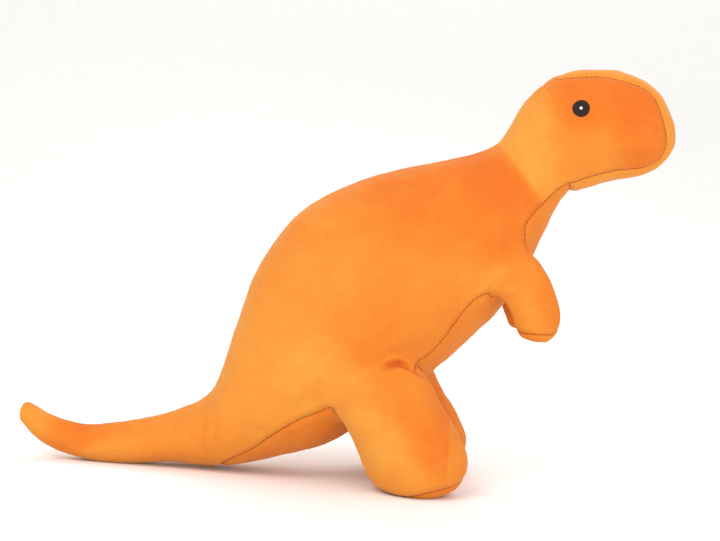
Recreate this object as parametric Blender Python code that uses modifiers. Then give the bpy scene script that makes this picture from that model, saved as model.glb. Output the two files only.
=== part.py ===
"""Stuffed dinosaur: sewn plush panels over fibre stuffing, standing on two feet and its tail.

The toy faces +X, its back is up (+Z) and its own right side is -Y. The origin is on the floor
under the middle of its length. Sizes below are in millimetres and become metres through MM.
"""

import math

import bmesh
import bpy
from mathutils import Matrix, Vector

MM = 0.001

# Overall sizes
TOY_LENGTH = 384.0
TOY_HEIGHT = 254.0
BODY_WIDTH = 108.0

# Cloth and fits
FABRIC = 1.2  # plush cloth with its pile
SEAM_GAP = 0.3  # between two panels sewn edge to edge
FIT_GAP = 0.5  # between the stuffing and the cloth, and across each flexing joint
SOCKET_ROOM = 1.03  # a joint's round end over half the thickness there

# Eyes
EYE_DIAMETER = 10.4
EYE_THICKNESS = 1.4
GLINT_DIAMETER = 2.2
GLINT_THICKNESS = 0.6

# Limb stance: how far each limb's middle stands out from the mid plane
LEG_STANCE = 39.0
ARM_STANCE = 33.0
LEFT_LEG_LEAD = 4.0  # how far the left leg is sewn on ahead of the right one

# Joint ranges in degrees: about +Y, and about +Z for the tail. The body is cut clear of them.
LEG_SWING = (-14.0, 10.0)
ARM_SWING = (-35.0, 10.0)
HEAD_NOD = (-14.0, 12.0)
TAIL_SWAY = (-30.0, 30.0)
SWING_ROOM = 2.0  # degrees kept free beyond each limit
SWING_STEP = 6.0

# Body stations from the tail tip to the snout: top of the back, underside, half width, and the
# angles from the top of the section at which the head strip and the belly strip are sewn on.
#    top x   top z   under x under z  half  strip  belly
BODY = [
    (-190.4, 31.0, -191.6, 25.4, 2.2, 30, 150),
    (-186.0, 32.6, -188.8, 19.8, 7.0, 30, 150),
    (-172.0, 25.4, -175.6, 8.8, 9.5, 30, 150),
    (-152.0, 21.4, -154.0, 1.6, 11.5, 30, 150),
    (-127.0, 24.6, -127.0, 0.0, 14.5, 30, 150),
    (-101.0, 31.8, -98.0, 2.6, 19.5, 30, 150),
    (-80.0, 42.4, -73.0, 2.0, 26.0, 30, 152),
    (-70.4, 60.0, -52.6, 5.0, 33.5, 30, 135),
    (-62.6, 90.2, -30.4, 11.0, 42.0, 30, 125),
    (-51.6, 124.4, -6.0, 20.0, 49.0, 30, 124),
    (-30.6, 156.6, 18.0, 35.0, 53.5, 30, 128),
    (0.6, 176.6, 42.0, 54.0, 54.0, 30, 133),
    (31.8, 188.0, 61.0, 72.6, 50.5, 30, 134),
    (57.8, 195.0, 84.0, 97.0, 45.0, 30, 125),
    (76.0, 200.8, 105.0, 126.0, 38.5, 30, 126),
    (86.0, 206.6, 117.2, 157.6, 32.0, 30, 127),
    (92.0, 216.2, 126.8, 178.2, 28.5, 30, 136),
    (101.1, 233.0, 134.0, 181.6, 29.0, 26, 143),
    (116.6, 248.0, 143.0, 184.0, 30.5, 23, 143),
    (138.0, 254.4, 155.0, 188.4, 31.5, 33, 143),
    (161.0, 252.2, 170.0, 192.0, 30.0, 33, 146),
    (178.5, 242.3, 182.0, 199.0, 23.0, 48, 142),
    (188.8, 227.0, 189.4, 209.0, 11.0, 48, 138),
    (190.8, 220.4, 190.8, 216.0, 2.4, 45, 135),
]
HALF_WIDTH_MAX = 54.0  # the widest half width in BODY

# Where along BODY the panels end and the joints lie, counted in stations
RUMP_END = 7
CROTCH = 10.5
THROAT = 16.5
NAPE = 18
SNOUT = 21
TAIL_JOINT = 5.4
NECK_JOINT = 15.6
EYE_STATION = 18.27
EYE_ANGLE = 70.0

# Limb sections from the root to the tip: front point, back point, half width, and how far
# nearer the mid plane the section lies than the limb's stance.
#    front x front z back x  back z  half  inward
LEG = [
    (34.0, 80.0, -8.0, 62.0, 16.0, 9.0),
    (50.0, 68.5, -1.5, 46.5, 23.0, 3.5),
    (60.5, 51.5, 8.5, 32.5, 24.5, 0.5),
    (71.0, 36.5, 15.0, 20.0, 25.0, 0.0),
    (77.3, 21.5, 19.8, 9.8, 25.0, 0.0),
    (74.0, 8.0, 26.0, 3.6, 22.5, 0.0),
    (64.0, 0.0, 35.0, 0.0, 15.5, 0.0),
]
ARM = [
    (95.0, 155.0, 71.0, 123.0, 8.5, 11.0),
    (104.5, 146.5, 81.0, 119.3, 11.0, 4.5),
    (113.8, 136.0, 91.0, 115.6, 11.8, 1.0),
    (120.8, 124.0, 97.0, 108.6, 11.5, 0.0),
    (125.3, 110.5, 100.2, 101.0, 11.0, 0.0),
    (125.0, 99.5, 103.4, 95.6, 9.5, 0.0),
    (119.0, 92.4, 110.0, 92.0, 4.5, 0.0),
]
LEG_HIP = 1.0  # the section of LEG whose middle the leg turns about
ARM_SHOULDER = 1.0  # the same for ARM

# Facets
RINGS_PER_STATION = 2
STRIP_FACES = 2  # across half the head strip or the belly strip
SIDE_FACES = 5  # between the two strips
LEG_FACES = 14
ARM_FACES = 12
ROUND_FACES = 48

LENGTH_SCALE = TOY_LENGTH / 384.0
HEIGHT_SCALE = TOY_HEIGHT / 254.4
WIDTH_SCALE = BODY_WIDTH / (2 * HALF_WIDTH_MAX)

COLOURS = {
    "plush": ((0.93, 0.30, 0.035), 0.85),
    "fibre": ((0.88, 0.87, 0.83), 0.95),
    "eye_thread": ((0.012, 0.010, 0.010), 0.55),
    "glint_thread": ((0.9, 0.9, 0.88), 0.6),
}


def clear_scene():
    for obj in list(bpy.data.objects):
        bpy.data.objects.remove(obj)


def make_collection(name):
    collection = bpy.data.collections.new(name)
    bpy.context.scene.collection.children.link(collection)
    return collection


def make_material(name):
    (red, green, blue), roughness = COLOURS[name]
    material = bpy.data.materials.new(name)
    material.use_nodes = True
    shader = material.node_tree.nodes["Principled BSDF"]
    shader.inputs["Base Color"].default_value = (red, green, blue, 1.0)
    shader.inputs["Roughness"].default_value = roughness
    shader.inputs["Metallic"].default_value = 0.0
    return material


# ---------------------------------------------------------------- smooth shapes through stations


def along(table, place):
    """A row of the table at a fractional place, on a Catmull-Rom curve through the rows."""
    place = min(max(place, 0.0), len(table) - 1.0)
    first = min(int(place), len(table) - 2)
    t = place - first
    rows = [table[min(max(first + step, 0), len(table) - 1)] for step in (-1, 0, 1, 2)]
    weights = (
        (-t + 2 * t * t - t**3) / 2,
        (2 - 5 * t * t + 3 * t**3) / 2,
        (t + 4 * t * t - 3 * t**3) / 2,
        (-t * t + t**3) / 2,
    )
    return [sum(w * row[i] for w, row in zip(weights, rows)) for i in range(len(rows[0]))]


def in_toy(x, y, z):
    """A point of the station tables as a place in the toy, in metres."""
    return Vector((x * LENGTH_SCALE, y * WIDTH_SCALE, z * HEIGHT_SCALE)) * MM


def body_point(place, angle, side):
    """The skin of the body: angle runs from the top of the section, side is -1 for the toy's right."""
    top_x, top_z, under_x, under_z, half, _, _ = along(BODY, place)
    down = (1 - math.cos(angle)) / 2
    x = top_x + (under_x - top_x) * down
    z = top_z + (under_z - top_z) * down
    return in_toy(x, side * half * math.sin(angle), z)


def section_angles(place):
    """Angles of one side's points, from the top to the underside, with points on both seams."""
    strip, belly = (math.radians(a) for a in along(BODY, place)[5:])
    stops = [(0.0, strip, STRIP_FACES), (strip, belly, SIDE_FACES), (belly, math.pi, STRIP_FACES)]
    angles = [start + (end - start) * i / n for start, end, n in stops for i in range(n)]
    return angles + [math.pi]


def body_middle(place):
    return (body_point(place, 0.0, 1) + body_point(place, math.pi, 1)) / 2


def half_thickness(place):
    return (body_point(place, 0.0, 1) - body_point(place, math.pi, 1)).length / 2


def limb_point(table, stance, lead, place, turn, side):
    """The skin of a limb: turn 0 is its front edge, a quarter turn its outer side."""
    front_x, front_z, back_x, back_z, half, inward = along(table, place)
    toward_front = (1 + math.cos(turn)) / 2
    x = lead + back_x + (front_x - back_x) * toward_front
    z = back_z + (front_z - back_z) * toward_front
    return in_toy(x, side * (stance - inward + half * math.sin(turn)), z)


def limb_middle(table, lead, place):
    front_x, front_z, back_x, back_z = along(table, place)[:4]
    return in_toy(lead + (front_x + back_x) / 2, 0.0, (front_z + back_z) / 2)


# ---------------------------------------------------------------- meshes


def new_object(name, mesh, collection):
    obj = bpy.data.objects.new(name, mesh)
    collection.objects.link(obj)
    return obj


def mesh_from(form, name):
    mesh = bpy.data.meshes.new(name)
    bmesh.ops.recalc_face_normals(form, faces=form.faces)
    form.to_mesh(mesh)
    form.free()
    return mesh


def lofted(rings, tag):
    """A closed loft through rings of equal length; tag(i, j) numbers the panel of each face."""
    form = bmesh.new()
    rows = [[form.verts.new(point) for point in ring] for ring in rings]
    count = len(rings[0])
    for i in range(len(rows) - 1):
        for j in range(count):
            around = (j + 1) % count
            face = form.faces.new((rows[i][j], rows[i][around], rows[i + 1][around], rows[i + 1][j]))
            face.material_index = tag(i, j)
    for row, i in ((rows[0], 0), (rows[-1], len(rows) - 2)):
        end = form.faces.new(row)
        end.material_index = tag(i, None)
        bmesh.ops.poke(form, faces=[end])
    # Warped quads split the same way in the cloth and in the stuffing under it.
    bmesh.ops.triangulate(form, faces=form.faces)
    bmesh.ops.recalc_face_normals(form, faces=form.faces)
    return form


BODY_PANELS = ["side_right", "side_left", "head_gusset", "belly_gusset", "rump_gusset"]


def body_loft():
    """The whole body from tail tip to snout, each face tagged with its panel."""
    places = [i / RINGS_PER_STATION for i in range((len(BODY) - 1) * RINGS_PER_STATION + 1)]
    side_points = STRIP_FACES + SIDE_FACES + STRIP_FACES
    rings = []
    for place in places:
        angles = section_angles(place)
        right = [body_point(place, a, -1) for a in angles]
        left = [body_point(place, a, 1) for a in angles]
        rings.append(right + left[-2:0:-1])

    def tag(i, j):
        place = (places[i] + places[i + 1]) / 2
        if j is None:
            return 0 if i == 0 else BODY_PANELS.index("head_gusset")
        on_left = j >= side_points
        row = 2 * side_points - 1 - j if on_left else j
        if place > SNOUT:
            return BODY_PANELS.index("head_gusset")
        if row < STRIP_FACES and place > NAPE:
            return BODY_PANELS.index("head_gusset")
        if row >= STRIP_FACES + SIDE_FACES and place > THROAT:
            return BODY_PANELS.index("head_gusset")
        if row >= STRIP_FACES + SIDE_FACES and place > CROTCH:
            return BODY_PANELS.index("belly_gusset")
        if row >= STRIP_FACES + SIDE_FACES and place > RUMP_END:
            return BODY_PANELS.index("rump_gusset")
        return int(on_left)

    return lofted(rings, tag)


LIMB_PANELS = ["outer", "inner"]


def limb_loft(table, stance, lead, faces, side):
    """One limb from root to tip; its outer panel stops short of the tip, which the inner one wraps."""
    places = [i / RINGS_PER_STATION for i in range((len(table) - 1) * RINGS_PER_STATION + 1)]
    rings = [
        [limb_point(table, stance, lead, place, 2 * math.pi * j / faces, side) for j in range(faces)]
        for place in places
    ]

    def tag(i, j):
        tip = places[i] >= len(table) - 2
        return 0 if j is not None and j < faces // 2 and not tip else 1

    return lofted(rings, tag)


# ---------------------------------------------------------------- cloth panels and stuffing


def inset_at_seams(form, gap):
    """Draws an open patch in from its edges, along its own surface."""
    moves = {}
    for edge in form.edges:
        if len(edge.link_faces) != 1:
            continue
        face = edge.link_faces[0]
        first, second = edge.verts
        inward = face.normal.cross(second.co - first.co).normalized()
        if inward.dot(face.calc_center_median() - first.co) < 0:
            inward.negate()
        for vert in edge.verts:
            moves[vert] = moves.get(vert, Vector()) + inward
    for vert, move in moves.items():
        vert.co += move.normalized() * gap


def panel_mesh(loft, panel, name):
    """One panel as cloth: its faces of the loft, thickened inwards along the whole loft's normals.

    Two panels that share a seam thicken along the same normals, so their edges stay parallel.
    """
    form = loft.copy()
    form.normal_update()
    inner = {vert.index: vert.co - vert.normal * FABRIC * MM for vert in form.verts}
    others = [face for face in form.faces if face.material_index != panel]
    keep = form.verts.layers.int.new("place")
    for vert in form.verts:
        vert[keep] = vert.index
    bmesh.ops.delete(form, geom=others, context="FACES")
    form.normal_update()
    before = {vert: vert.co.copy() for vert in form.verts}
    inset_at_seams(form, SEAM_GAP / 2 * MM)
    drawn = {vert: vert.co - before[vert] for vert in form.verts}
    outer = list(form.faces)
    rim = [edge for edge in form.edges if len(edge.link_faces) == 1]
    under = {vert: form.verts.new(inner[vert[keep]] + drawn[vert]) for vert in list(form.verts)}
    for face in outer:
        form.faces.new([under[vert] for vert in reversed(face.verts)])
    for edge in rim:
        first, second = edge.verts
        form.faces.new((first, second, under[second], under[first]))
    for face in form.faces:
        face.material_index = 0
    return mesh_from(form, name)


def filling_mesh(loft, name):
    """The stuffing inside a loft, clear of the cloth."""
    form = loft.copy()
    form.normal_update()
    inset = (FABRIC + FIT_GAP) * MM
    moved = [vert.co - vert.normal * inset for vert in form.verts]
    for vert, place in zip(form.verts, moved):
        vert.co = place
    for face in form.faces:
        face.material_index = 0
    return mesh_from(form, name)


def add_part(name, mesh, material, collection, parent=None):
    obj = new_object(name, mesh, collection)
    obj.data.materials.clear()
    obj.data.materials.append(material)
    if parent:
        obj.parent = parent
        obj.matrix_parent_inverse = parent.matrix_world.inverted()
    return obj


def cut(obj, cutter, operation="DIFFERENCE"):
    modifier = obj.modifiers.new(f"{operation.lower()}_{cutter.name}", "BOOLEAN")
    modifier.object = cutter
    modifier.operation = operation


# ---------------------------------------------------------------- cutters


def as_cutter(form, name, collection):
    obj = new_object(name, mesh_from(form, name), collection)
    obj.hide_render = True
    obj.display_type = "WIRE"
    return obj


def slab(outline, middle, ahead, up, name, collection):
    """An outline in the plane of two directions, thickened far to both sides of it."""
    form = bmesh.new()
    across = ahead.cross(up)
    far = TOY_LENGTH * MM
    corners = [middle + ahead * u + up * v - across * far for u, v in outline]
    face = form.faces.new([form.verts.new(corner) for corner in corners])
    grown = bmesh.ops.extrude_face_region(form, geom=[face])
    top = [item for item in grown["geom"] if isinstance(item, bmesh.types.BMVert)]
    bmesh.ops.translate(form, verts=top, vec=across * 2 * far)
    return as_cutter(form, name, collection)


def arc(radius, start, end):
    steps = ROUND_FACES // 2
    angles = [math.radians(start + (end - start) * i / steps) for i in range(steps + 1)]
    return [(radius * math.cos(a), radius * math.sin(a)) for a in angles]


def hinge_cutters(name, middle, ahead, up, radius, swing, collection):
    """A round-ended moving end, and the wider hollow that it turns in."""
    far = TOY_LENGTH * MM / 2
    end = arc(radius, 90, 270) + [(0, -far), (far, -far), (far, far), (0, far)]
    moving = slab(end, middle, ahead, up, f"{name}_moving_end", collection)
    start, stop = 90 - swing[0] + SWING_ROOM, 270 - swing[1] - SWING_ROOM
    hollow = arc(radius + FIT_GAP * MM, start, stop)
    far_stop, far_start = arc(far, stop, start)[0], arc(far, stop, start)[-1]
    hollow += [far_stop, (far, -far), (far, far), far_start]
    return moving, slab(hollow, middle, ahead, up, f"{name}_hollow", collection)


def swept_pocket(points, hinge, swing, name, collection):
    """The room that a limb needs in the body: its outline at every angle of its swing, and a gap."""
    low, high = swing[0] - SWING_ROOM, swing[1] + SWING_ROOM
    steps = math.ceil((high - low) / SWING_STEP)
    gap = FIT_GAP * MM
    form = bmesh.new()
    for i in range(steps + 1):
        turn = Matrix.Rotation(math.radians(low + (high - low) * i / steps), 3, "Y")
        for point in points:
            place = hinge + turn @ (point - hinge)
            for x, y, z in ((a, b, c) for a in (-1, 1) for b in (-1, 1) for c in (-1, 1)):
                form.verts.new(place + Vector((x, y, z)) * gap)
    hull = bmesh.ops.convex_hull(form, input=form.verts)
    spare = [v for v in hull["geom_interior"] + hull["geom_unused"] if isinstance(v, bmesh.types.BMVert)]
    bmesh.ops.delete(form, geom=list(set(spare)), context="VERTS")
    return as_cutter(form, name, collection)


# ---------------------------------------------------------------- the toy


def joint_empty(name, place, collection):
    empty = bpy.data.objects.new(name, None)
    empty.location = place
    empty.empty_display_size = 10 * MM
    collection.objects.link(empty)
    bpy.context.view_layer.update()
    return empty


def build_limb(kind, side, table, stance, lead, faces, hinge_place, swing, materials, parts, cutters):
    """A sewn limb: outer and inner panel and its stuffing, on a joint empty; returns its pocket."""
    word = "right" if side < 0 else "left"
    loft = limb_loft(table, stance, lead, faces, side)
    hinge = limb_middle(table, lead, hinge_place)
    empty = joint_empty(f"{kind}_{word}_joint", hinge, parts)
    points = [vert.co.copy() for vert in loft.verts]
    for index, panel in enumerate(LIMB_PANELS):
        name = f"{kind}_{word}_{panel}_panel"
        add_part(name, panel_mesh(loft, index, name), materials["plush"], parts, empty)
    name = f"{kind}_{word}_stuffing"
    add_part(name, filling_mesh(loft, name), materials["fibre"], parts, empty)
    loft.free()
    return swept_pocket(points, hinge, swing, f"{kind}_{word}_pocket", cutters)


def build_eye(side, head_joint, materials, parts):
    """An embroidered disc with a white glint, standing on the cloth of the head."""
    word = "right" if side < 0 else "left"
    angle = math.radians(EYE_ANGLE)
    centre = body_point(EYE_STATION, angle, side)
    along_head = body_point(EYE_STATION + 0.2, angle, side) - body_point(EYE_STATION - 0.2, angle, side)
    around_head = body_point(EYE_STATION, angle + 0.1, side) - body_point(EYE_STATION, angle - 0.1, side)
    outward = along_head.cross(around_head).normalized()
    if outward.y * side < 0:
        outward.negate()
    turn = Vector((0, 0, 1)).rotation_difference(outward)
    layers = [
        (f"eye_{word}", EYE_DIAMETER, EYE_THICKNESS, SEAM_GAP, "eye_thread"),
        (f"eye_glint_{word}", GLINT_DIAMETER, GLINT_THICKNESS, EYE_THICKNESS + 2 * SEAM_GAP, "glint_thread"),
    ]
    for name, diameter, thickness, lift, material in layers:
        form = bmesh.new()
        bmesh.ops.create_cone(
            form,
            cap_ends=True,
            segments=ROUND_FACES // 3,
            radius1=diameter / 2 * MM,
            radius2=diameter / 2 * MM,
            depth=thickness * MM,
        )
        eye = add_part(name, mesh_from(form, name), materials[material], parts)
        eye.location = centre + outward * (lift + thickness / 2) * MM
        eye.rotation_mode = "QUATERNION"
        eye.rotation_quaternion = turn
        eye.parent = head_joint
        eye.matrix_parent_inverse = head_joint.matrix_world.inverted()
        rounding = eye.modifiers.new("rounding", "BEVEL")
        rounding.width = thickness * MM / 3
        rounding.segments = 2


def build_toy():
    clear_scene()
    parts = make_collection("stuffed_dinosaur")
    cutters = make_collection("cutters")
    materials = {name: make_material(name) for name in COLOURS}

    nape, throat = body_point(NECK_JOINT, 0.0, 1), body_point(NECK_JOINT, math.pi, 1)
    neck_up = (nape - throat).normalized()
    neck_ahead = Vector((0, 1, 0)).cross(neck_up)
    neck = body_middle(NECK_JOINT)
    neck_radius = half_thickness(NECK_JOINT) * SOCKET_ROOM
    nodding, nod_hollow = hinge_cutters(
        "neck", neck, neck_ahead, neck_up, neck_radius, HEAD_NOD, cutters
    )
    tail = body_middle(TAIL_JOINT)
    tail_radius = along(BODY, TAIL_JOINT)[4] * WIDTH_SCALE * MM * SOCKET_ROOM
    backward, leftward = Vector((-1, 0, 0)), Vector((0, 1, 0))
    swaying, sway_hollow = hinge_cutters(
        "tail", tail, backward, leftward, tail_radius, TAIL_SWAY, cutters
    )
    head_joint = joint_empty("head_joint", neck, parts)
    tail_joint = joint_empty("tail_joint", tail, parts)

    pockets = {}
    for side in (-1, 1):
        lead = LEFT_LEG_LEAD if side > 0 else 0.0
        leg = (LEG, LEG_STANCE, lead, LEG_FACES, LEG_HIP, LEG_SWING)
        arm = (ARM, ARM_STANCE, 0.0, ARM_FACES, ARM_SHOULDER, ARM_SWING)
        pockets["leg", side] = build_limb("leg", side, *leg, materials, parts, cutters)
        pockets["arm", side] = build_limb("arm", side, *arm, materials, parts, cutters)
        build_eye(side, head_joint, materials, parts)

    loft = body_loft()
    both = (-1, 1)
    torso_cuts = {
        "side_right": [nod_hollow, sway_hollow, pockets["leg", -1], pockets["arm", -1]],
        "side_left": [nod_hollow, sway_hollow, pockets["leg", 1], pockets["arm", 1]],
        "belly_gusset": [nod_hollow] + [pockets[limb, side] for limb in ("leg", "arm") for side in both],
        "rump_gusset": [pockets["leg", side] for side in both],
    }
    for panel, cuts in torso_cuts.items():
        name = f"{panel}_panel" if panel.startswith("side") else panel
        mesh = panel_mesh(loft, BODY_PANELS.index(panel), name)
        obj = add_part(name, mesh, materials["plush"], parts)
        for cutter in cuts:
            cut(obj, cutter)

    head_pieces = [
        ("head_side_right", "side_right", nodding),
        ("head_side_left", "side_left", nodding),
        ("throat_gusset", "belly_gusset", nodding),
        ("head_gusset", "head_gusset", None),
    ]
    for name, panel, region in head_pieces:
        mesh = panel_mesh(loft, BODY_PANELS.index(panel), name)
        obj = add_part(name, mesh, materials["plush"], parts, head_joint)
        if region:
            cut(obj, region, "INTERSECT")
    for name, panel in (("tail_side_right", "side_right"), ("tail_side_left", "side_left")):
        mesh = panel_mesh(loft, BODY_PANELS.index(panel), name)
        obj = add_part(name, mesh, materials["plush"], parts, tail_joint)
        cut(obj, swaying, "INTERSECT")

    body_fill = add_part("body_stuffing", filling_mesh(loft, "body_stuffing"), materials["fibre"], parts)
    for cutter in [nod_hollow, sway_hollow] + list(pockets.values()):
        cut(body_fill, cutter)
    for name, region, empty in (
        ("head_stuffing", nodding, head_joint),
        ("tail_stuffing", swaying, tail_joint),
    ):
        obj = add_part(name, filling_mesh(loft, name), materials["fibre"], parts, empty)
        cut(obj, region, "INTERSECT")
    loft.free()


build_toy()
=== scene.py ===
import math

import bpy
import numpy as np
from mathutils import Matrix, Vector, noise
from mathutils.bvhtree import BVHTree
from mathutils.kdtree import KDTree


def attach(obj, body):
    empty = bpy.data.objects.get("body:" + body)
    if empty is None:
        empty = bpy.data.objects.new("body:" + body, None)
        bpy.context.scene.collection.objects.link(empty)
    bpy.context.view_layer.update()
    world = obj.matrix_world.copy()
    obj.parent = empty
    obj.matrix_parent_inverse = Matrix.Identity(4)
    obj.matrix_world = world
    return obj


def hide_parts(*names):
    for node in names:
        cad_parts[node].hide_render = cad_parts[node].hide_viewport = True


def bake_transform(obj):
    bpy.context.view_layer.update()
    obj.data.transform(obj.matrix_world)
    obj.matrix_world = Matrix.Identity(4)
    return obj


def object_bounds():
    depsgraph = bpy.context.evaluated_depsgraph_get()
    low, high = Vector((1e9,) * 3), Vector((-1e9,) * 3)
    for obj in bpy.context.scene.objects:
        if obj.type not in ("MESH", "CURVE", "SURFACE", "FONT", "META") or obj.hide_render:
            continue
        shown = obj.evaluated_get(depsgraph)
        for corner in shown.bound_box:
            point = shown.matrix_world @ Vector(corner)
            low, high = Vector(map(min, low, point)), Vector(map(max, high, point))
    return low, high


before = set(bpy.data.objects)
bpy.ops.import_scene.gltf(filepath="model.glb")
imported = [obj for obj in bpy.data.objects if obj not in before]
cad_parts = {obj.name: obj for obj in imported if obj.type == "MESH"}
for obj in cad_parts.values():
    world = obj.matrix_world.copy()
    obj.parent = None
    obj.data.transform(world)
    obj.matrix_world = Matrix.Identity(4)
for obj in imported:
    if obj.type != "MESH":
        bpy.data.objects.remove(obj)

cadBox = [list(corner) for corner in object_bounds()]
mm = 0.001

# The sewn shape, in millimetres, as rows from the tail tip to the snout: top of the back x and z,
# underside x and z, half width. It is fitted to the length, width and height of the frame.
body = {
    "rows": [
        (-190.4, 31.0, -191.6, 25.4, 2.2),
        (-186.0, 32.6, -188.8, 19.8, 7.0),
        (-172.0, 25.4, -175.6, 8.8, 9.5),
        (-152.0, 21.4, -154.0, 1.6, 11.5),
        (-127.0, 24.6, -127.0, 0.0, 14.5),
        (-101.0, 31.8, -98.0, 2.6, 19.5),
        (-80.0, 42.4, -73.0, 2.0, 26.0),
        (-70.4, 60.0, -52.6, 5.0, 33.5),
        (-62.6, 90.2, -30.4, 11.0, 42.0),
        (-51.6, 124.4, -6.0, 20.0, 49.0),
        (-30.6, 156.6, 18.0, 35.0, 53.5),
        (0.6, 176.6, 42.0, 54.0, 54.0),
        (31.8, 188.0, 61.0, 72.6, 50.5),
        (57.8, 195.0, 84.0, 97.0, 45.0),
        (76.0, 200.8, 105.0, 126.0, 38.5),
        (86.0, 206.6, 117.2, 157.6, 32.0),
        (92.0, 216.2, 126.8, 178.2, 28.5),
        (101.1, 233.0, 134.0, 181.6, 29.0),
        (116.6, 248.0, 143.0, 184.0, 30.5),
        (138.0, 254.4, 155.0, 188.4, 31.5),
        (161.0, 252.2, 170.0, 192.0, 30.0),
        (178.5, 242.3, 182.0, 199.0, 23.0),
        (188.8, 227.0, 189.4, 209.0, 11.0),
        (190.8, 220.4, 190.8, 216.0, 2.4),
    ],
    "ringsPerRow": 8,
    "around": 96,
    "length": 382.4,
    "height": 254.4,
    "width": 127.2,
}

# Limbs from root to tip: front edge x and z, back edge x and z, half width, how far the middle
# lies nearer the mid plane than the stance.
limbs = {
    "leg": {
        "rows": [
            (34.0, 80.0, -8.0, 62.0, 16.0, 9.0),
            (50.0, 68.5, -1.5, 46.5, 23.0, 3.5),
            (60.5, 51.5, 8.5, 32.5, 24.5, 0.5),
            (71.0, 36.5, 15.0, 20.0, 25.0, 0.0),
            (77.3, 21.5, 19.8, 9.8, 25.0, 0.0),
            (74.0, 8.0, 26.0, 3.6, 22.5, 0.0),
            (64.0, 0.0, 35.0, 0.0, 15.5, 0.0),
        ],
        "stance": 39.0,
        "leftLead": 4.0,  # the left leg is sewn on a little further ahead
        "filletRadius": 15.0,
    },
    "arm": {
        "rows": [
            (95.0, 155.0, 71.0, 123.0, 8.5, 11.0),
            (104.5, 146.5, 81.0, 119.3, 11.0, 4.5),
            (113.8, 136.0, 91.0, 115.6, 11.8, 1.0),
            (120.8, 124.0, 97.0, 108.6, 11.5, 0.0),
            (125.3, 110.5, 100.2, 101.0, 11.0, 0.0),
            (125.0, 99.5, 103.4, 95.6, 9.5, 0.0),
            (119.0, 92.4, 110.0, 92.0, 4.5, 0.0),
        ],
        "stance": 33.0,
        "leftLead": 0.0,
        "filletRadius": 10.0,
    },
}
limbMesh = {"ringsPerRow": 12, "around": 48}

scaleX = (cadBox[1][0] - cadBox[0][0]) / body["length"]
scaleY = (cadBox[1][1] - cadBox[0][1]) / body["width"]
scaleZ = (cadBox[1][2] - cadBox[0][2]) / body["height"]


def rowAt(rows, place):
    rows = np.asarray(rows, float)
    place = np.clip(np.asarray(place, float), 0, len(rows) - 1)
    first = np.minimum(place.astype(int), len(rows) - 2)
    t = (place - first)[..., None]
    before, here, after, later = (rows[np.clip(first + k, 0, len(rows) - 1)] for k in (-1, 0, 1, 2))
    return (
        (-t + 2 * t * t - t**3) * before
        + (2 - 5 * t * t + 3 * t**3) * here
        + (t + 4 * t * t - 3 * t**3) * after
        + (-t * t + t**3) * later
    ) / 2


def bodyPoint(place, angle, side):
    topX, topZ, underX, underZ, half = np.moveaxis(rowAt(body["rows"], place), -1, 0)
    down = (1 - np.cos(angle)) / 2
    x = topX + (underX - topX) * down
    z = topZ + (underZ - topZ) * down
    return np.stack([x * scaleX, side * half * np.sin(angle) * scaleY, z * scaleZ], -1)


def limbPoint(kind, place, turn, side):
    limb = limbs[kind]
    frontX, frontZ, backX, backZ, half, inward = np.moveaxis(rowAt(limb["rows"], place), -1, 0)
    forward = (1 + np.cos(turn)) / 2
    x = backX + (frontX - backX) * forward + (limb["leftLead"] if side > 0 else 0.0)
    z = backZ + (frontZ - backZ) * forward
    y = side * (limb["stance"] - inward + half * np.sin(turn))
    return np.stack([x * scaleX, y * scaleY, z * scaleZ], -1)


def surfaceTree(places, faces):
    return BVHTree.FromPolygons([tuple(p) for p in places], [tuple(f) for f in faces])


def pointTree(places):
    tree = KDTree(len(places))
    for index, p in enumerate(places):
        tree.insert(Vector(p), index)
    tree.balance()
    return tree


def runAlong(line):
    return np.concatenate([[0], np.cumsum(np.linalg.norm(np.diff(line, axis=0), axis=1))])


def meshFrom(name, points, faces):
    mesh = bpy.data.meshes.new(name)
    mesh.from_pydata([tuple(p) for p in points], [], [tuple(f) for f in faces])
    mesh.update()
    return mesh


def showMesh(name, mesh):
    obj = bpy.data.objects.new(name, mesh)
    bpy.context.scene.collection.objects.link(obj)
    return obj


def loftOf(rings):
    rows, around = rings.shape[:2]
    points = [p for p in rings.reshape(-1, 3)]
    faces = []
    for i in range(rows - 1):
        for j in range(around):
            k = (j + 1) % around
            faces.append((i * around + j, i * around + k, (i + 1) * around + k, (i + 1) * around + j))
    for row, ring in ((0, rings[0]), (rows - 1, rings[-1])):
        points.append(ring.mean(0))
        for j in range(around):
            k = (j + 1) % around
            faces.append((row * around + j, row * around + k, len(points) - 1))
    return np.array(points), faces


def bodyLoft():
    rows = len(body["rows"]) - 1
    places = np.linspace(0, rows, rows * body["ringsPerRow"] + 1)[:, None]
    turn = np.linspace(0, 2 * np.pi, body["around"], endpoint=False)[None, :]
    return loftOf(bodyPoint(places + 0 * turn, turn + 0 * places, 1))


def limbLoft(kind, side):
    rows = len(limbs[kind]["rows"]) - 1
    places = np.linspace(0, rows, rows * limbMesh["ringsPerRow"] + 1)[:, None]
    turn = np.linspace(0, 2 * np.pi, limbMesh["around"], endpoint=False)[None, :]
    return loftOf(limbPoint(kind, places + 0 * turn, turn + 0 * places, side))


# One closed skin: the body and four limbs grown together, then eased where they meet.
skin = {
    "voxel": 1.15,
    "relax": 6,
    "easeSteps": 140,
    "easeStart": 0.2,  # share of the fillet radius that eases in full
    "innerEase": 0.25,  # the inner side of a limb eases this much
    "outerFrom": (-12, 8),  # from here to here, across the stance, the ease grows to full
    "lumpSize": 26.0,
    "lumpDepth": 0.8,
    "dimpleSize": 9.0,
    "dimpleDepth": 0.22,
}


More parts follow.
